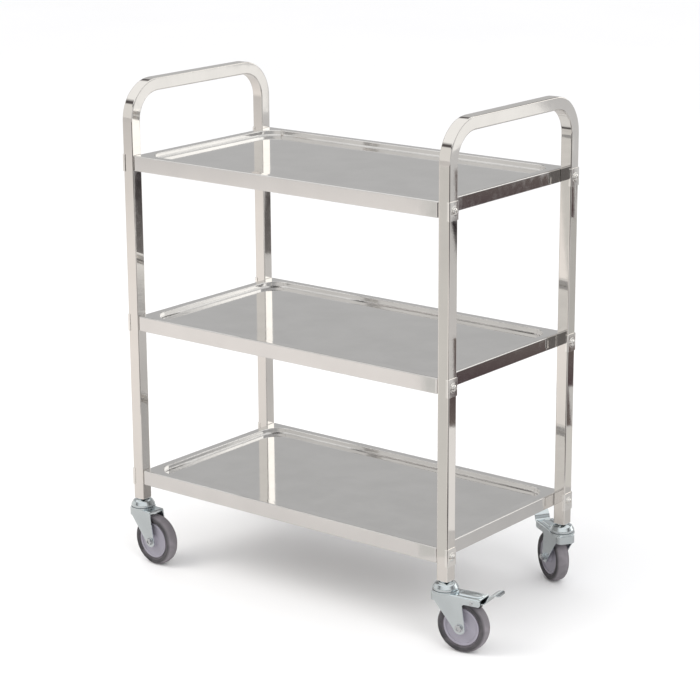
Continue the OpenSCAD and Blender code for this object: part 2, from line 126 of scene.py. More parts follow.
def hexagon_share(angle):
    """Distance to a hexagon's outline at an angle, as a share of the distance to its corners."""
    return math.cos(math.pi / 6) / math.cos((angle % (math.pi / 3)) - math.pi / 6)


def add_lathe(mesh_data, profile, place, steps):
    """Closed profile of (radius, height) turned about the Z axis of place."""
    add_rings(mesh_data, [[place @ Vector((r * math.cos(turn), r * math.sin(turn), h)) for r, h in profile]
                          for turn in full_turn(steps)], wrap=True)


def arc_points(centre, radius, start, end, steps):
    """Points of an arc in the plane, angles in degrees."""
    points = []
    for k in range(steps + 1):
        angle = math.radians(start + (end - start) * k / steps)
        points.append((centre[0] + radius * math.cos(angle), centre[1] + radius * math.sin(angle)))
    return points


def rounded_loop(half_x, half_y, radius, steps=8):
    """Counter-clockwise rounded rectangle about the origin."""
    loop = []
    for sx, sy, start in ((1, 1, 0), (-1, 1, 90), (-1, -1, 180), (1, -1, 270)):
        centre = (sx * (half_x - radius), sy * (half_y - radius))
        loop += arc_points(centre, radius, start, start + 90, steps)
    return loop


def rounded_profile(corners, radii, steps):
    """Closed outline through corner points, each rounded by its own radius; a straight corner stays."""
    nearly_straight = math.radians(89)
    outline = []
    count = len(corners)
    for i, (corner, radius) in enumerate(zip(corners, radii)):
        here = Vector(corner)
        if radius <= 0:
            outline.append(tuple(here))
            continue
        before = (Vector(corners[i - 1]) - here).normalized()
        after = (Vector(corners[(i + 1) % count]) - here).normalized()
        half = before.angle(after) / 2
        if half > nearly_straight:
            outline.append(tuple(here))
            continue
        reach = radius / math.tan(half)
        centre = here + (before + after).normalized() * radius / math.sin(half)
        first = here + before * reach - centre
        last = here + after * reach - centre
        start = math.atan2(first.y, first.x)
        turn = (math.atan2(last.y, last.x) - start + math.pi) % (2 * math.pi) - math.pi
        outline += arc_points(centre, radius, math.degrees(start), math.degrees(start + turn), steps)
    return outline


# ------------------------------------------------------------------ materials

def new_material(name):
    """A node material with one Principled shader."""
    material = bpy.data.materials.new(name)
    material.use_nodes = True
    nodes = material.node_tree.nodes
    shader = nodes["Principled BSDF"]
    return material, nodes, material.node_tree.links, shader


def noise(nodes, links, scale, detail, stretch=(1, 1, 1), offset=(0, 0, 0), distortion=0.0):
    """Noise over the object's own coordinates, stretched along an axis."""
    place = nodes.new("ShaderNodeTexCoord")
    mapping = nodes.new("ShaderNodeMapping")
    mapping.inputs["Scale"].default_value = stretch
    mapping.inputs["Location"].default_value = offset
    texture = nodes.new("ShaderNodeTexNoise")
    texture.inputs["Scale"].default_value = scale
    texture.inputs["Detail"].default_value = detail
    texture.inputs["Distortion"].default_value = distortion
    links.new(place.outputs["Object"], mapping.inputs["Vector"])
    links.new(mapping.outputs["Vector"], texture.inputs["Vector"])
    return texture.outputs["Fac"]


def ramp(nodes, links, source, stops):
    """Colour ramp from a factor; stops are (position, grey or colour)."""
    made = nodes.new("ShaderNodeValToRGB")
    elements = made.color_ramp.elements
    while len(elements) < len(stops):
        elements.new(0.5)
    for element, (position, colour) in zip(elements, stops):
        element.position = position
        value = (colour,) * 3 if isinstance(colour, (int, float)) else colour
        element.color = (*value, 1)
    links.new(source, made.inputs["Fac"])
    return made.outputs["Color"]


def bump(nodes, links, source, strength, distance):
    """Bump from a height."""
    made = nodes.new("ShaderNodeBump")
    made.inputs["Strength"].default_value = strength
    made.inputs["Distance"].default_value = distance
    links.new(source, made.inputs["Height"])
    return made.outputs["Normal"]


def tint(colour, factor):
    """Colour made darker or lighter by a factor."""
    return tuple(min(1.0, channel * factor) for channel in colour)


def mix_colours(nodes, links, factor, first, second):
    """Colour between two, each of them a socket or a fixed colour."""
    mix = nodes.new("ShaderNodeMix")
    mix.data_type = "RGBA"
    for socket, value in (("A", first), ("B", second)):
        if isinstance(value, tuple):
            mix.inputs[socket].default_value = (*value, 1)
        else:
            links.new(value, mix.inputs[socket])
    links.new(factor, mix.inputs["Factor"])
    return mix.outputs["Result"]


def metal(name, colour, roughness, grain, grain_scale, mottle=0.03, polish=0.04):
    """Bare or plated metal: fine grain along one axis, faint mottling and brighter rubbed edges.
    Polish is how far the roughness strays to either side."""
    worn, smoothest = 1.1, 0.02
    material, nodes, links, shader = new_material(name)
    shader.inputs["Metallic"].default_value = 1.0
    cloud = noise(nodes, links, 14, 5, offset=(3.1, 1.7, 0.4))
    smear = noise(nodes, links, 55, 4, offset=(0.7, 9.2, 5.5), distortion=0.6)
    streak = noise(nodes, links, grain_scale, 3, stretch=grain)
    base = ramp(nodes, links, cloud,
                [(0.35, tint(colour, 1 - mottle)), (0.65, tint(colour, 1 + mottle))])
    edge = nodes.new("ShaderNodeNewGeometry").outputs["Pointiness"]
    rubbed = ramp(nodes, links, edge, [(0.5, 0.0), (0.56, 1.0)])
    links.new(mix_colours(nodes, links, rubbed, base, tint(colour, worn)), shader.inputs["Base Color"])
    rough = ramp(nodes, links, smear,
                 [(0.3, max(roughness - polish, smoothest)), (0.7, roughness + polish)])
    links.new(rough, shader.inputs["Roughness"])
    links.new(bump(nodes, links, streak, 0.12, 0.02 * MM), shader.inputs["Normal"])
    return material


def plastic(name, colour, roughness):
    """Moulded plastic with a fine pebbled skin and faint flow marks."""
    speckle, pebble, depth = 0.06, 900, 0.15
    material, nodes, links, shader = new_material(name)
    flow = noise(nodes, links, 22, 4, distortion=1.2)
    grain = noise(nodes, links, pebble, 2)
    base = ramp(nodes, links, flow,
                [(0.3, tint(colour, 1 - speckle)), (0.7, tint(colour, 1 + speckle))])
    links.new(base, shader.inputs["Base Color"])
    links.new(ramp(nodes, links, flow, [(0.3, roughness - 0.05), (0.7, roughness + 0.06)]),
              shader.inputs["Roughness"])
    links.new(bump(nodes, links, grain, depth, 0.05 * MM), shader.inputs["Normal"])
    return material


def rubber(name, colour, dust, tread=None, tread_half=None):
    """Rubber with floor dust in patches and a fine matte grain; a wheel's tread is painted lighter, a painted
    highlight where the lamps light it more, mottled by the same noise as the dust.
    """
    roughness = 0.62
    material, nodes, links, shader = new_material(name)
    patch = noise(nodes, links, 38, 6, distortion=0.8)
    grain = noise(nodes, links, 1400, 2)
    base = ramp(nodes, links, patch, [(0.42, colour), (0.72, dust)])
    if tread:
        split = nodes.new("ShaderNodeSeparateXYZ")
        links.new(nodes.new("ShaderNodeTexCoord").outputs["Object"], split.inputs["Vector"])
        width = nodes.new("ShaderNodeMath")
        width.operation = "ABSOLUTE"
        links.new(split.outputs["Z"], width.inputs[0])
        share = nodes.new("ShaderNodeMapRange")
        share.inputs["From Min"].default_value = tread_half
        share.inputs["From Max"].default_value = tread_half * 0.7
        links.new(width.outputs["Value"], share.inputs["Value"])
        # The tread's lighter colour is painted light: a painted highlight where the tread faces the lamps, mottled
        # by the dust noise.
        lit_tread = ramp(nodes, links, patch, [(0.35, tint(tread, 0.85)), (0.7, tint(tread, 1.2))])
        base = mix_colours(nodes, links, share.outputs["Result"], base, lit_tread)
    links.new(base, shader.inputs["Base Color"])
    links.new(ramp(nodes, links, patch, [(0.35, roughness - 0.1), (0.7, roughness + 0.15)]),
              shader.inputs["Roughness"])
    links.new(bump(nodes, links, grain, 0.25, 0.08 * MM), shader.inputs["Normal"])
    shader.inputs["Specular IOR Level"].default_value = 0.4
    return material


TREAD_HALF = 13.2 * MM
MATERIALS = {
    "polished_steel": metal("polished_steel", (0.80, 0.78, 0.755), 0.04, (60, 60, 1), 40, polish=0.02),
    "tray_steel": metal("tray_steel", (0.76, 0.755, 0.75), 0.06, (1, 60, 60), 40, polish=0.03),
    "bright_fittings": metal("bright_fittings", (0.86, 0.85, 0.83), 0.08, (1, 1, 1), 300),
    "zinc_plate": metal("zinc_plate", (0.64, 0.70, 0.73), 0.16, (1, 1, 1), 160, mottle=0.06),
    "zinc_hardware": metal("zinc_hardware", (0.58, 0.60, 0.62), 0.24, (1, 1, 1), 220, mottle=0.06),
    "ball_steel": metal("ball_steel", (0.78, 0.78, 0.78), 0.10, (1, 1, 1), 120),
    "black_nylon": plastic("black_nylon", (0.03, 0.03, 0.033), 0.5),
    "grey_hub": plastic("grey_hub", (0.30, 0.285, 0.33), 0.42),
    # The tyre's tread colour is painted light: a painted highlight on the tread band.
    "grey_tyre": rubber("grey_tyre", (0.038, 0.036, 0.04), (0.085, 0.08, 0.085),
                        tread=(0.20, 0.185, 0.20), tread_half=TREAD_HALF),
    "shoe_rubber": rubber("shoe_rubber", (0.02, 0.02, 0.02), (0.045, 0.042, 0.04)),
}


# ------------------------------------------------------------------ frame

def end_frame_path():
    """Centre line of the inverted U in the YZ plane: (y, z, normal angle in degrees).
    A ring close to each end of a straight keeps the shading of the bend out of it."""
    bend_z = FRAME_TOP - TUBE / 2 - BEND_RADIUS
    bend_y = POST_Y - BEND_RADIUS
    guard, bend_steps = 2 * MM, 28
    stops = [(POST_Y, FOOT, 0), (POST_Y, FOOT + guard, 0), (POST_Y, bend_z - guard, 0)]
    for k in range(bend_steps + 1):
        angle = 90 * k / bend_steps
        a = math.radians(angle)
        stops.append((bend_y + BEND_RADIUS * math.cos(a), bend_z + BEND_RADIUS * math.sin(a), angle))
    return stops + [(-y, z, 180 - angle) for y, z, angle in reversed(stops)]


def tube_rings(side, half, edge):
    """Rings of a rounded square carried along the end frame's centre line."""
    section = rounded_loop(half, half, edge, 6)
    rings = []
    for y, z, angle in end_frame_path():
        out_y, out_z = math.cos(math.radians(angle)), math.sin(math.radians(angle))
        rings.append([(side * POST_X + u, y + v * out_y, z + v * out_z) for u, v in section])
    return rings


def build_end_frame(side, node):
    """Bent square tube, open at its feet, with its inner wall."""
    data = bmesh.new()
    outer = tube_rings(side, TUBE / 2, TUBE_EDGE)
    inner = tube_rings(side, TUBE / 2 - TUBE_WALL, TUBE_EDGE - TUBE_WALL)
    add_rings(data, outer + inner[::-1], wrap=True)
    finish_piece(data, "bent_tube_" + node, "trolley", [node], "polished_steel")


# ------------------------------------------------------------------ shelves

def build_shelf(node):
    """One pressed tray as a lofted sheet: floor, fillet, wall, rim, skirt and hem, then back underneath.
    Its skirts at the two ends are shorter by end_cut."""
    low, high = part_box(node)
    rim_z = high.z
    half_x, half_y, skirt = high.x, high.y, high.z - low.z
    depth = rim_z - MOUNT_HEIGHTS[node + "_floor"]
    end_cut, hem, edge, corner = 3 * MM, 9 * MM, 2.5 * MM, 5 * MM
    fillet, flare, fold = 3 * MM, 2 * MM, 1.3 * MM
    floor_inset, hem_corner, corner_share = 30 * MM, 2 * MM, 0.6
    below_hem, above_hem, beside_hem = -skirt, -skirt + SHEET, SHEET + 0.2 * MM

    def ring(off_x, off_y, z, radius, lift=0.0):
        loop = rounded_loop(half_x - off_x, half_y - off_y, radius)
        steps = len(loop) // 4
        points = []
        for i, (x, y) in enumerate(loop):
            at_end = i % steps < steps // 2 if (i // steps) % 2 == 0 else i % steps >= steps // 2
            points.append((x, y, rim_z + z + (lift if at_end else 0.0)))
        return points

    def pocket(shift, z):
        return ring(RIM + shift, RIM + shift, z, RECESS_RADIUS - shift)

    rings = [pocket(floor_inset, -depth), pocket(fillet + 1 * MM, -depth)]
    rings += [pocket(r, z) for r, z in
              arc_points((fillet, -depth + fillet), fillet, 270, 180, 6)]
    rings += [pocket(r, z) for r, z in arc_points((-flare, -flare), flare, 0, 90, 5)]
    rings += [ring(edge + 0.6 * MM, edge + 0.6 * MM, 0, corner)]
    for r, z in arc_points((edge, -edge), edge, 90, 180, 6):
        rings.append(ring(r, r, z, corner - r * corner_share))
    for r, z in arc_points((fold, -skirt + fold), fold, 180, 270, 5):
        rings.append(ring(r, r, z, corner - r, end_cut))
    rings.append(ring(beside_hem, hem, below_hem, hem_corner, end_cut))
    rings.append(ring(beside_hem, hem, above_hem, hem_corner, end_cut))
    rings.append(ring(SHEET + 0.1 * MM, SHEET + 0.1 * MM, above_hem + 0.2 * MM, corner - SHEET, end_cut))
    for r, z in arc_points((edge, -edge), edge - SHEET, 180, 90, 4):
        rings.append(ring(r, r, z, corner - r * corner_share))
    for r, z in arc_points((-flare, -flare), flare - SHEET, 90, 0, 3):
        rings.append(pocket(r, z))
    rings += [pocket(r, z) for r, z in
              arc_points((fillet, -depth + fillet), fillet + SHEET, 180, 270, 5)]
    rings.append(pocket(floor_inset, -depth - SHEET))
    data = bmesh.new()
    add_rings(data, rings, cap=True)
    finish_piece(data, "pressed_" + node, "trolley", [node], "tray_steel")


# ------------------------------------------------------------------ saddle clips and shelf bolts

def bolt_places(side):
    """Matrices at the six bolts of one end, with +Z pointing outwards from the post's outer face."""
    turn = Matrix.Rotation(math.radians(90 * side), 4, "Y")
    places = []
    for node in SHELVES:
        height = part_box(node)[1].z - BOLT_DROP
        for end in (-1, 1):
            spot = Vector((side * (POST_X + TUBE / 2), end * POST_Y, height))
            places.append(Matrix.Translation(spot) @ turn)
    return places


def build_clips(side, node):
    """Pressed saddles: a plate with two rounded shoulders round the post and a raised round seat."""
    thick, lip, half_height, gap = 1.5 * MM, 5 * MM, 17 * MM, 0.05 * MM
    inner, outer = TUBE / 2 + gap, TUBE / 2 + thick
    lip_round, outer_round, inner_round, bevel = 0.4 * MM, 2.6 * MM, 1.1 * MM, 0.35 * MM
    section = rounded_profile(
        [(inner, -lip), (outer, -lip), (outer, thick), (-outer, thick), (-outer, -lip), (-inner, -lip),
         (-inner, gap), (inner, gap)],
        [lip_round] * 2 + [outer_round] * 2 + [lip_round] * 2 + [inner_round] * 2, 5)
    seat_in, seat_out, seat_low, seat_high = 3.3 * MM, 9.5 * MM, 0.8 * MM, thick + 1 * MM
    seat = rounded_profile(
        [(seat_in, seat_low), (seat_out, seat_low), (seat_out, seat_high), (seat_in, seat_high)],
        [0, 0, 0.8 * MM, 0.3 * MM], 4)
    data = bmesh.new()
    for place in bolt_places(side):
        rings = []
        for along, shrink in ((-half_height, bevel), (-half_height + bevel, 0),
                              (half_height - bevel, 0), (half_height, bevel)):
            factor = 1 - shrink / outer
            rings.append([place @ Vector((along, across * factor, out - shrink * (out > thick / 2)))
                          for across, out in section])
        add_rings(data, rings, cap=True)
        add_lathe(data, seat, place, 40)
    finish_piece(data, "pressed_" + node, "trolley", [node], "bright_fittings")


def build_bolts(side, node):
    """Button heads with a sunk hexagon socket, each on its shank."""
    base, rise, radius, edge, top = 2.5 * MM, 3.6 * MM, 6.5 * MM, 0.7 * MM, 3.2 * MM
    socket, depth = 2.25 * MM, 2.2 * MM
    shank, tip, tip_bevel = 3 * MM, -46 * MM, 0.5 * MM
    steps, dome_steps, dome_power = 48, 6, 2.2
    dome = [(CORE, 0.0), (radius, 0.0), (radius, edge)]
    for k in range(1, dome_steps):
        share = k / dome_steps
        dome.append((radius - (radius - top) * share ** dome_power, edge + (rise - edge) * share))
    dome += [(3.1 * MM, rise), (socket + 0.25 * MM, rise)]
    rings = [[(r * math.cos(turn), r * math.sin(turn), base + h) for turn in full_turn(steps)]
             for r, h in dome]
    for size, h in ((1.0, rise - 0.25 * MM), (0.98, rise - depth), (0.1, rise - depth - 0.3 * MM)):
        rings.append([(socket * size * hexagon_share(turn) * math.cos(turn),
                       socket * size * hexagon_share(turn) * math.sin(turn), base + h)
                      for turn in full_turn(steps)])
    profile = [(CORE, tip), (2.6 * MM, tip), (shank, tip + tip_bevel), (shank, base), (CORE, base)]
    data = bmesh.new()
    for place in bolt_places(side):
        add_rings(data, [[place @ Vector(point) for point in ring] for ring in rings], cap=True)
        add_lathe(data, profile, place, 24)
    finish_piece(data, "button_" + node, "trolley", [node], "bright_fittings")


# ------------------------------------------------------------------ casters

TRAIL = 38 * MM
FORK_HALF = 17 * MM
FORK_SHEET = 2.5 * MM
LEG_OUTER = FORK_HALF + FORK_SHEET
CROWN_RADIUS = 25 * MM
CROWN_BOTTOM = JOINTS["swivel_front_left"]["pos_m"][2]
CROWN_TOP = CROWN_BOTTOM + FORK_SHEET
CHEEK_DROP = 12 * MM
CHEEK_END = 80 * MM
PIVOT = (62 * MM, CROWN_BOTTOM - 6.5 * MM)
PEDAL_SHEET = 2.0 * MM


def caster_place(name):
    """Matrix of one caster: origin on the floor under its stem, +X along its trail."""
    swivel = JOINTS["swivel_" + name]["pos_m"]
    wheel = JOINTS["roll_" + name]["pos_m"]
    yaw = math.atan2(wheel[1] - swivel[1], wheel[0] - swivel[0])
    return Matrix.Translation((swivel[0], swivel[1], 0)) @ Matrix.Rotation(yaw, 4, "Z")


def axle_place(name):
    """Matrix on the wheel's centre with +Z along the axle, towards the bolt's head."""
    return (caster_place(name) @ Matrix.Translation((TRAIL, 0, WHEEL_RADIUS))
            @ Matrix.Rotation(math.radians(90), 4, "X"))


def lengths(*millimetres):
    """Lengths in metres from lengths in millimetres."""
    return [value * MM for value in millimetres]


def in_mm(points):
    """Points in metres from points in millimetres."""
    return [tuple(lengths(*point)) for point in points]


def build_race_cap(name):
    """Domed raceway cap with a rolled rim and a collar under the post."""
    bore, collar, wide, lip_inner = 5.1, 11.4, 24.0, 22.0
    lip = CROWN_TOP / MM + 2.8
    inside = lip + 2.4
    foot = FOOT / MM
    top = foot - 0.1
    corners = [(bore, inside), (lip_inner, inside), (lip_inner, lip), (wide, lip), (wide, lip + 4.4),
               (19.5, foot - 5.2), (13.6, foot - 2.6), (collar, foot - 2.1), (collar, top), (bore, top)]
    radii = lengths(0, 0.3, 0.3, 0.9, 2.2, 5, 1.5, 1.2, 0.6, 0)
    data = bmesh.new()
    add_lathe(data, rounded_profile(in_mm(corners), radii, 5), caster_place(name), 72)
    node = "race_cap_" + name
    finish_piece(data, "domed_" + node, "trolley", [node], "zinc_plate")


def fork_columns(braked):
    """Half of the fork's outline from the rear to the front centre.
    Each entry is (plan x, plan y, normal x, normal y, bottom x, bottom z), in millimetres, for the +Y side.
    With a brake it starts along the cheek; then come the leg's rear edge, the eye, the front edge and
    the nose."""
    side, top = LEG_OUTER / MM, CROWN_BOTTOM / MM
    trail, axle = TRAIL / MM, WHEEL_RADIUS / MM
    eye, eye_first, eye_sweep, eye_steps = 12.5, -22, 142, 11
    front_x, nose, apron = -24.0, 10.0, 14.5
    leg_front, leg_steps, nose_steps, nose_dip = 14, 5, 8, 1.2
    leg_rear = 34 if braked else 39
    rows = []
    if braked:
        low, end, bevel = top - CHEEK_DROP / MM, CHEEK_END / MM, 3
        rows += [(end, side, 0, 1, end, low + bevel), (end - bevel, side, 0, 1, end - bevel, low)]
        rows += [(x, side, 0, 1, x - 2, low) for x in (70, 63, 56, 51)]
        rows += [(48.5, side, 0, 1, 45.6, low - 0.6), (47, side, 0, 1, 44.0, low - 3.0)]
        rows += [(42 - 2 * k, side, 0, 1, 44.2 + 5.4 * k / 4, low - 6 - 44 * k / 4) for k in range(4)]
    for k in range(eye_steps + 1):
        angle = math.radians(eye_first - eye_sweep * k / eye_steps)
        x = leg_rear + (leg_front - leg_rear) * k / eye_steps
        rows.append((x, side, 0, 1, trail + eye * math.cos(angle), axle + eye * math.sin(angle)))
    last_x, last_z = rows[-1][4:]
    for k in range(1, leg_steps + 1):
        share = k / leg_steps
        rows.append((leg_front + (front_x + nose - leg_front) * share, side, 0, 1,
                     last_x + (front_x + nose - last_x) * share,
                     last_z + (top - apron - last_z) * share))
    for k in range(1, nose_steps + 1):
        angle = math.radians(90 + 90 * k / nose_steps)
        x = front_x + nose + nose * math.cos(angle)
        y = side - nose + nose * math.sin(angle)
        rows.append((x, y, math.cos(angle), math.sin(angle), x, top - apron - nose_dip * k / nose_steps))
    return rows


def add_fork_sheet(data, braked, place):
    """Pressed sheet: flat crown plate, rounded bend, front apron, two legs and, if braked, two cheeks.
    Outer and inner skins are grids of the same columns, joined by a chamfered rim round the border."""
    half = fork_columns(braked)
    whole = half + [(x, -y, nx, -ny, bx, bz) for x, y, nx, ny, bx, bz in reversed(half)]
    top, bend, sheet, rim = CROWN_TOP / MM, 3.6, FORK_SHEET / MM, 0.4
    bend_steps, drop_steps = 4, 4
    points, normals = [], []
    for x, y, nx, ny, bottom_x, bottom_z in whole:
        column, facing = [], []
        for k in range(bend_steps + 1):
            angle = math.radians(90 * k / bend_steps)
            inset = bend * (1 - math.sin(angle))
            column.append(Vector((x - nx * inset, y - ny * inset, top - bend * (1 - math.cos(angle)))))
            facing.append(Vector((nx * math.sin(angle), ny * math.sin(angle), math.cos(angle))))
        straight = top - bend
        for k in range(1, drop_steps + 1):
            share = k / drop_steps
            column.append(Vector((x + (bottom_x - x) * share, y,
                                  straight + (bottom_z - straight) * share)))
            facing.append(Vector((nx, ny, 0)))
        points.append(column)
        normals.append(facing)

    count, last = len(whole), bend_steps + drop_steps
    border = [(i, last) for i in range(count)] + [(count - 1, k) for k in range(last - 1, -1, -1)]
    border += [(0, k) for k in range(last)]
    outwards = {}
    for i, k in border:
        normal = normals[i][k]
        away = Vector((0, 0, 0))
        if k == last:
            along = points[min(i + 1, count - 1)][k] - points[max(i - 1, 0)][k]
            side = normal.cross(along).normalized()
            away += side if side.dot(points[i][k] - points[i][k - 1]) > 0 else -side
        if i in (0, count - 1):
            along = points[i][min(k + 1, last)] - points[i][max(k - 1, 0)]
            side = normal.cross(along).normalized()
            away += side if side.x > 0 else -side
        outwards[i, k] = away.normalized()

    def vertex(point):
        return data.verts.new(place @ (point * MM))

    outer, inner, rim_one, rim_two = {}, {}, {}, {}
    for i in range(count):
        for k in range(last + 1):
            point, normal = points[i][k], normals[i][k]
            pull = outwards.get((i, k), Vector((0, 0, 0))) * rim
            outer[i, k] = vertex(point - pull)
            inner[i, k] = vertex(point - pull - normal * sheet)
            if (i, k) in outwards:
                rim_one[i, k] = vertex(point - normal * rim)
                rim_two[i, k] = vertex(point - normal * (sheet - rim))
    for skin in (outer, inner):
        for i in range(count - 1):
            for k in range(last):
                data.faces.new((skin[i, k], skin[i + 1, k], skin[i + 1, k + 1], skin[i, k + 1]))
        data.faces.new([skin[i, 0] for i in range(count)])
    for one, two in ((outer, rim_one), (rim_one, rim_two), (rim_two, inner)):
        for here, following in zip(border, border[1:] + border[:1]):
            data.faces.new((one[here], one[following], two[following], two[here]))


def build_fork(name):
    """Pressed fork with its round lower raceway and, if braked, the bead on its housing."""
    place = caster_place(name)
    braked = name in BRAKED
    data = bmesh.new()
    add_fork_sheet(data, braked, place)
    bore, low, high, lip = 5.4 * MM, CROWN_BOTTOM + 0.2 * MM, CROWN_TOP + 0.05 * MM, CROWN_TOP + 2.2 * MM
    wall = CROWN_RADIUS - FORK_SHEET
    crown = rounded_profile(
        [(bore, low), (CROWN_RADIUS, low), (CROWN_RADIUS, lip), (wall, lip), (wall, high), (bore, high)],
        lengths(0, 1.6, 0.7, 0.7, 0.3, 0), 5)
    add_lathe(data, crown, place, 72)
    if braked:
        add_housing_bead(data, place)
    node = "fork_" + name
    finish_piece(data, "pressed_" + node, "swivel_" + name, [node], "zinc_plate")


def add_housing_bead(data, place):
    """Raised channel pressed along the top of the brake housing, between the crown and its rear end."""
    first, last, half = 27.5 * MM, 77 * MM, 10.5 * MM
    corner, least_corner = 9.5, 1.5
    section = ((-1.6, -0.3), (-0.8, 0.1), (0, 1.0), (0.5, 1.9), (1.4, 2.5), (2.6, 2.6), (4.2, 2.2),
               (5.2, 1.5), (6.4, 1.3))
    middle = (first + last) / 2
    rings = []
    for inset, height in section:
        outline = rounded_loop((last - first) / 2 - inset * MM, half - inset * MM,
                               max(corner - inset, least_corner) * MM, 8)
        rings.append([place @ Vector((middle + x, y, CROWN_TOP + height * MM)) for x, y in outline])
    add_rings(data, rings, cap=True)


def add_hexagon(data, across, low, high, place, dimple=0.0):
    """Hexagon with chamfered corners on both faces and an optional round dimple in its upper face."""
    span = high - low
    layers = [(0.15, low, 0), (0.93, low, 0), (1, low + 0.12 * span, 1), (1, high - 0.14 * span, 1),
              (0.9, high, 0)]
    if dimple:
        layers += [(dimple, high, 0), (dimple * 0.9, high - 0.35 * span, 0),
                   (0.1, high - 0.4 * span, 0)]
    else:
        layers += [(0.15, high, 0)]
    rings = []
    for size, height, hexagonal in layers:
        ring = []
        for angle in full_turn(48):
            flat = hexagon_share(angle)
            chamfered = size * (1 if size < 0.9 else flat ** 0.5)
            reach = across / 2 * (flat if hexagonal else chamfered)
            ring.append(place @ Vector((reach * math.cos(angle), reach * math.sin(angle), height)))
        rings.append(ring)
    add_rings(data, rings, cap=True)


def build_axle(name):
    """Axle bolt with a washer face under its dimpled head, and the nut on the other side."""
    place = axle_place(name)
    body = "swivel_" + name
    across, shank, tip, washer = 14 * MM, 4 * MM, 3.4 * MM, 8.2 * MM
    head_low, head_high, washer_high = LEG_OUTER + 1.2 * MM, LEG_OUTER + 5 * MM, LEG_OUTER + 1.3 * MM
    washer_in, shank_high = 3.9 * MM, LEG_OUTER + 1.5 * MM
    tail, nut_height = -LEG_OUTER - 9 * MM, 6.5 * MM
    data = bmesh.new()
    add_hexagon(data, across, head_low, head_high, place, 0.52)
    collar = [(washer_in, LEG_OUTER), (washer, LEG_OUTER), (washer, washer_high), (washer_in, washer_high)]
    add_lathe(data, rounded_profile(collar, lengths(0, 0.2, 0.5, 0), 3), place, 48)
    add_lathe(data, [(CORE, tail), (tip, tail), (shank, tail + 0.6 * MM), (shank, shank_high),
                     (CORE, shank_high)], place, 32)
    finish_piece(data, "hex_axle_" + name, body, ["axle_" + name], "zinc_hardware")
    data = bmesh.new()
    add_hexagon(data, across, -LEG_OUTER - nut_height, -LEG_OUTER, place)
    finish_piece(data, "hex_axle_nut_" + name, body, ["axle_nut_" + name], "zinc_hardware")


def mirrored(half):
    """Closed profile of (radius, height) from its upper half."""
    return half + [(r, -h) for r, h in reversed(half)]


def build_wheel(name):
    """Moulded hub with stepped faces and a boss, and a tyre with rounded shoulders.
    The tyre's coordinates are its own, because the painted highlight on its tread follows them."""
    place = axle_place(name)
    body = "wheel_" + name
    hub_r, boss_half, bore, web = 36.45, 16.6, 6.05, 8.6
    half_hub = [(bore, boss_half), (10.2, boss_half), (11, boss_half - 0.8), (12, 9.4), (16, web),
                (29, web), (30, 9.1), (31.2, 9.1), (32.4, 10.9), (hub_r, 11)]
    hub_radii = [0.3, 0.5, 0.3, 1.5, 1.2, 0.3, 0.3, 0.3, 0.8, 0.4]
    profile = rounded_profile(in_mm(mirrored(half_hub)), lengths(*hub_radii, *hub_radii[::-1]), 3)
    data = bmesh.new()
    add_lathe(data, profile, place, 96)
    finish_piece(data, "moulded_hub_" + name, body, ["hub_" + name], "grey_hub")
    tread, shoulder, seat, gap = WHEEL_RADIUS / MM, 13.9, 8.2, 0.08
    half_tyre = [(hub_r + gap, seat), (38.6, seat), (40.0, 12.9), (45.5, shoulder), (49.2, 10.2),
                 (50.75, 5.2)]
    tyre_radii = [0.2, 0.5, 1.6, 3.2, 3.6, 6]
    corners = half_tyre + [(tread, 0)] + [(r, -h) for r, h in reversed(half_tyre)]
    profile = rounded_profile(in_mm(corners), lengths(*tyre_radii, 0, *tyre_radii[::-1]), 5)
    data = bmesh.new()
    add_lathe(data, profile, Matrix.Identity(4), 128)
    finish_piece(data, "crowned_tyre_" + name, body, ["tyre_" + name], "grey_tyre", place=place)


def pedal_path():
    """Middle line of the pedal's sheet in the caster's XZ plane, in millimetres: flat, dip, rolled toe."""
    floor, start, flat_start = PIVOT[1] / MM - 0.5, 66.0, 72.0
    dip_r, crest_r, rise, droop, reach = 12.0, 16.0, 74, 25, 117.0
    sheet = PEDAL_SHEET / MM
    mid = sheet / 2
    span = dip_r + sheet + crest_r
    flat_end = (reach - (dip_r + crest_r + sheet) * math.sin(math.radians(rise))
                - (crest_r + sheet) * math.sin(math.radians(droop)))
    dip = (flat_end, floor + sheet + dip_r)
    turn = math.radians(rise - 90)
    crest = (dip[0] + span * math.cos(turn), dip[1] + span * math.sin(turn))
    path = [(start, floor + mid), (flat_start, floor + mid)]
    path += arc_points(dip, dip_r + mid, -90, rise - 90, 10)
    path += arc_points(crest, crest_r + mid, rise + 90, 90 - droop, 14)[1:]
    return path


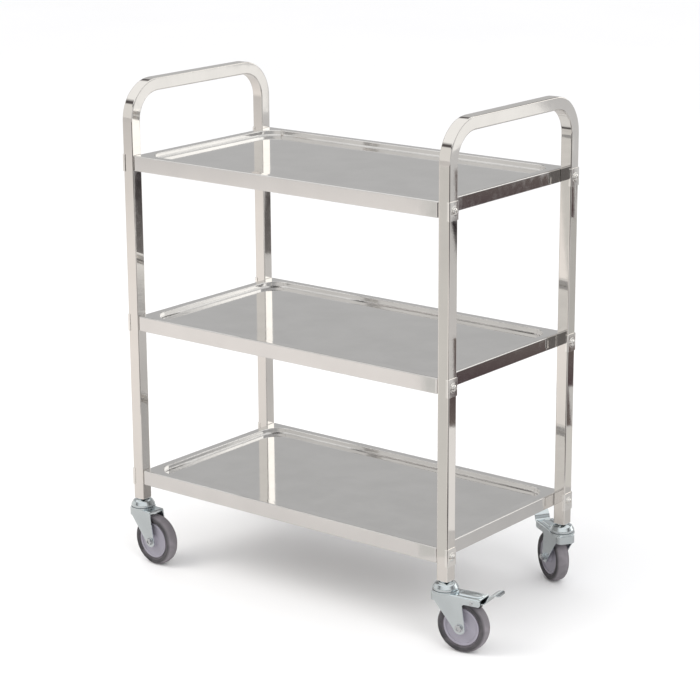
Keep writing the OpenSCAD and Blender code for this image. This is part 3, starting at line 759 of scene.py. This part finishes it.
def build_pedal(name):
    """Pedal sheet with a rounded toe, and its two ears on the rivet."""
    place = caster_place(name)
    path = pedal_path()
    half, corner, edge, ear_in, ear_out, bevel = 16.0, 7.0, 0.55, 14.4, 16.4, 0.4
    passed = [0.0]
    for one, two in zip(path, path[1:]):
        passed.append(passed[-1] + math.dist(one, two))
    rings = []
    for k, (x, z) in enumerate(path):
        before, after = path[max(k - 1, 0)], path[min(k + 1, len(path) - 1)]
        along = Vector((after[0] - before[0], after[1] - before[1])).normalized()
        left = max(passed[-1] - passed[k], 0.0)
        cut = corner - math.sqrt(corner ** 2 - (corner - left) ** 2) if left < corner else 0
        section = rounded_loop(half - cut, PEDAL_SHEET / MM / 2, edge, 3)
        rings.append([place @ (Vector((x - along.y * v, u, z + along.x * v)) * MM) for u, v in section])
    data = bmesh.new()
    add_rings(data, rings, cap=True)
    ear = rounded_profile([(57, 98.9), (66, 98.9), (77, 103.2), (77, 105.6), (57, 109)],
                          [4.8, 3, 1, 0.8, 4.8], 6)
    middle_x, middle_z, shrink = 66, 103.5, 10
    for side in (-1, 1):
        rings = []
        for across, inset in ((ear_in, bevel), (ear_in + bevel, 0), (ear_out - bevel, 0),
                              (ear_out, bevel)):
            rings.append([place @ (Vector((x + (middle_x - x) * inset / shrink, side * across,
                                           z + (middle_z - z) * inset / shrink)) * MM) for x, z in ear])
        add_rings(data, rings, cap=True)
    finish_piece(data, "pressed_brake_pedal_" + name, "brake_" + name, ["brake_pedal_" + name],
                 "zinc_plate")


def build_brake_pin(name):
    """Rivet through the cheeks with a domed head on each side."""
    place = (caster_place(name) @ Matrix.Translation((PIVOT[0], 0, PIVOT[1]))
             @ Matrix.Rotation(math.radians(90), 4, "X"))
    end = LEG_OUTER / MM
    half = [(0.1, end + 1.5), (1.6, end + 1.4), (3.1, end + 0.9), (4.0, end + 0.05), (2.5, end - 0.1)]
    data = bmesh.new()
    add_lathe(data, in_mm(mirrored(half)), place, 32)
    finish_piece(data, "domed_brake_pin_" + name, "swivel_" + name, ["brake_pin_" + name],
                 "zinc_hardware")


# ------------------------------------------------------------------ build

for side, node in ((-1, "left_end_frame"), (1, "right_end_frame")):
    build_end_frame(side, node)
for node in SHELVES:
    build_shelf(node)
for side, end in ((-1, "left"), (1, "right")):
    build_clips(side, end + "_saddle_clips")
    build_bolts(side, end + "_shelf_bolts")
for name in CASTERS:
    build_race_cap(name)
    build_fork(name)
    build_axle(name)
    build_wheel(name)
for name in BRAKED:
    build_pedal(name)
    build_brake_pin(name)

shown_slots = {row["node"]: row["material_slot"] for row in frame["record"]["subparts"]}
for node, piece in frame["nodes"].items():
    piece.data.materials.clear()
    piece.data.materials.append(MATERIALS[shown_slots[node]])


# ------------------------------------------------------------------ stage, light and camera

def stage_piece(name, mesh_data, material):
    """Piece of the studio, which isn't part of the object."""
    mesh = bpy.data.meshes.new(name)
    mesh_data.to_mesh(mesh)
    mesh_data.free()
    piece = bpy.data.objects.new(name, mesh)
    bpy.context.scene.collection.objects.link(piece)
    piece.data.materials.append(material)
    return piece


# Over the floor: the way that the end faces throw the view, and the way square to it.
AWAY = Vector((0.62, 0.785, 0))
ACROSS = Vector((0.785, -0.62, 0))
# Above zero for the way that the left end's back post throws the view, below it for the front post's.
SIDEWAYS = Vector((-0.738, 0.674, 0))


def component(nodes, links, source, direction):
    """How far a vector reaches in a direction."""
    made = nodes.new("ShaderNodeVectorMath")
    made.operation = "DOT_PRODUCT"
    made.inputs[1].default_value = direction
    links.new(source, made.inputs[0])
    return made.outputs["Value"]


def share_away(nodes, links, near, far):
    """Share of the way from near to far over the floor, measured along AWAY."""
    place = nodes.new("ShaderNodeTexCoord").outputs["Object"]
    share = nodes.new("ShaderNodeMapRange")
    share.inputs["From Min"].default_value = near
    share.inputs["From Max"].default_value = far
    links.new(component(nodes, links, place, AWAY), share.inputs["Value"])
    return share.outputs["Result"]


def build_floor():
    """Pale floor, greyer in reflections, where its shade runs along AWAY."""
    radius, reach = 40, 6
    data = bmesh.new()
    bmesh.ops.create_circle(data, cap_ends=True, segments=96, radius=radius)
    material, nodes, links, shader = new_material("floor")
    cloud = noise(nodes, links, 0.8, 2)
    pale = ramp(nodes, links, cloud, [(0.3, 0.945), (0.7, 0.96)])
    mirrored_shade = ramp(nodes, links, share_away(nodes, links, -reach, reach), [
        (0.0, (0.60, 0.575, 0.55)), (0.36, (0.63, 0.60, 0.575)), (0.5, (0.60, 0.58, 0.56)),
        (0.58, (0.45, 0.44, 0.43)), (0.66, (0.50, 0.49, 0.48)), (0.80, (0.50, 0.49, 0.48)),
        (0.90, (0.55, 0.545, 0.54))])
    glossy = nodes.new("ShaderNodeLightPath").outputs["Is Glossy Ray"]
    links.new(mix_colours(nodes, links, glossy, pale, mirrored_shade), shader.inputs["Base Color"])
    shader.inputs["Roughness"].default_value = 0.8
    shader.inputs["Specular IOR Level"].default_value = 0.1
    stage_piece("floor", data, material)


def floor_card(name, near, far, near_shade, far_shade):
    """Studio card lying on the floor that only reflections see.
    Near and far are its two ends: (reach along AWAY, left edge, right edge along ACROSS)."""
    data = bmesh.new()
    outline = [(near[0], near[1]), (near[0], near[2]), (far[0], far[2]), (far[0], far[1])]
    lift = Vector((0, 0, 2 * MM))
    data.faces.new([data.verts.new(AWAY * p + ACROSS * q + lift) for p, q in outline])
    material = bpy.data.materials.new(name)
    material.use_nodes = True
    nodes, links = material.node_tree.nodes, material.node_tree.links
    nodes.clear()
    share = share_away(nodes, links, near[0], far[0])
    glow = nodes.new("ShaderNodeEmission")
    links.new(ramp(nodes, links, share, [(0.0, near_shade), (1.0, far_shade)]), glow.inputs["Color"])
    output = nodes.new("ShaderNodeOutputMaterial")
    links.new(glow.outputs["Emission"], output.inputs["Surface"])
    card = stage_piece(name, data, material)
    card.visible_camera = card.visible_diffuse = False
    card.visible_shadow = card.visible_transmission = False


def area_light(name, place, aim, size, power, colour=(1, 1, 1)):
    """Soft lamp that mirrors don't show."""
    data = bpy.data.lights.new(name, "AREA")
    data.shape = "RECTANGLE"
    data.size, data.size_y = size
    data.energy = power
    data.color = colour
    lamp = bpy.data.objects.new(name, data)
    bpy.context.scene.collection.objects.link(lamp)
    lamp.location = place
    lamp.visible_glossy = False
    lamp.rotation_mode = "QUATERNION"
    lamp.rotation_quaternion = (Vector(aim) - Vector(place)).to_track_quat("-Z", "Y")


def build_camera():
    """Camera at the photograph's angle, aimed a little to the right of the trolley's middle."""
    yaw, pitch, roll = math.radians(38.352), math.radians(15.409), math.radians(-0.318)
    distance, lens, sensor, aim_right, aim_height = 4.4365, 116.06, 36, 0.0041, 0.4641
    forward = Vector((-math.sin(yaw) * math.cos(pitch), math.cos(yaw) * math.cos(pitch),
                      -math.sin(pitch)))
    level = Vector((math.cos(yaw), math.sin(yaw), 0))
    upward = level.cross(forward)
    right = math.cos(roll) * level + math.sin(roll) * upward
    up = -math.sin(roll) * level + math.cos(roll) * upward
    data = bpy.data.cameras.new("camera")
    data.lens, data.sensor_width = lens, sensor
    data.clip_start, data.clip_end = 0.1, 100
    camera = bpy.data.objects.new("camera", data)
    bpy.context.scene.collection.objects.link(camera)
    turn = Matrix((right, up, -forward)).transposed().to_4x4()
    target = aim_right * level + Vector((0, 0, aim_height))
    camera.matrix_world = Matrix.Translation(target - distance * forward) @ turn
    bpy.context.scene.camera = camera


def build_world():
    """White studio. Glossy surfaces see grey walls with a low window where the end faces throw the view,
    which reaches higher to one side, a warm front left, and a dark band under a bright ceiling."""
    world = bpy.data.worlds.new("studio")
    bpy.context.scene.world = world
    world.use_nodes = True
    nodes, links = world.node_tree.nodes, world.node_tree.links
    look = nodes.new("ShaderNodeTexCoord").outputs["Generated"]
    split = nodes.new("ShaderNodeSeparateXYZ")
    links.new(look, split.inputs["Vector"])

    def step(source, start, end):
        return ramp(nodes, links, source, [(start, 0.0), (end, 1.0)])

    def rises(start, end):
        return step(split.outputs["Z"], start, end)

    def faces(direction, start, end):
        return step(component(nodes, links, look, direction), start, end)

    def blend(factor, first, second):
        return mix_colours(nodes, links, factor, first, second)

    white, ceiling, gloom = (1.04, 1.04, 1.05), (1.0, 0.99, 0.97), (0.10, 0.09, 0.09)
    far, warm, window = (0.52, 0.515, 0.51), (0.82, 0.80, 0.77), (1.55, 1.52, 1.46)
    walls = blend(faces(-AWAY, 0.10, 0.45), far, warm)
    low_part = blend(faces(AWAY, 0.62, 0.80), walls, window)
    high_part = blend(faces(SIDEWAYS, 0.0, 0.02), walls, low_part)
    lit = blend(rises(0.10, 0.16), walls, blend(rises(0.21, 0.24), low_part, high_part))
    glossy = blend(rises(0.53, 0.60), blend(rises(0.44, 0.48), lit, gloom), ceiling)
    path = nodes.new("ShaderNodeLightPath")
    background = nodes["Background"]
    links.new(blend(path.outputs["Is Glossy Ray"], white, glossy), background.inputs["Color"])
    background.inputs["Strength"].default_value = 1.0


build_floor()
build_world()
BLACK = (0.03, 0.024, 0.027)
DARK = (0.09, 0.065, 0.068)
UMBER = (0.15, 0.125, 0.115)
DUSK = (0.17, 0.16, 0.155)
STONE = (0.50, 0.49, 0.47)
LINEN = (0.66, 0.645, 0.615)
CHALK = (0.84, 0.82, 0.80)
PAPER = (1.00, 0.99, 0.97)
floor_card("card_middle_end", (1.80, 0.02, 0.34), (2.28, -0.05, 0.325), DARK, UMBER)
floor_card("card_below_clips", (1.46, 0.07, 0.41), (1.80, 0.06, 0.39), UMBER, DARK)
floor_card("card_top_end", (3.88, -0.17, 0.215), (4.76, -0.24, 0.205), DARK, UMBER)
floor_card("card_front_left_post", (2.29, 0.05, 0.13), (3.85, 0.09, 0.295), DUSK, BLACK)
floor_card("card_back_left_post", (2.40, -0.37, -0.25), (4.45, -0.30, -0.25), DUSK, BLACK)
floor_card("card_back_right_post", (2.29, -0.09, 0.04), (3.87, -0.25, -0.10), STONE, STONE)
floor_card("card_right_post_fronts", (-0.40, 0.40, 0.53), (-4.70, 0.56, 0.78), LINEN, LINEN)
floor_card("card_front_right_post_low", (0.72, 0.36, 0.44), (1.45, 0.34, 0.41), CHALK, CHALK)
floor_card("card_back_right_post_low", (1.00, 0.09, 0.16), (1.45, 0.05, 0.12), LINEN, LINEN)
floor_card("card_left_handle", (5.20, -0.25, 0.50), (6.90, -0.25, 0.50), PAPER, PAPER)
floor_card("card_post_edges_near", (-0.55, 0.85, 3.0), (0.85, 0.85, 3.0), DUSK, DUSK)
floor_card("card_post_edges_far", (-3.2, 3.0, 6.5), (3.4, 3.0, 6.5), DUSK, DUSK)
area_light("key", (-2.2, -2.6, 3.4), (0, 0, 0.4), (2.6, 2.6), 66, (1, 0.97, 0.93))
area_light("fill", (3.2, -1.6, 2.6), (0, 0, 0.4), (2.0, 2.0), 42)
bpy.context.scene.view_settings.view_transform = "Standard"
build_camera()
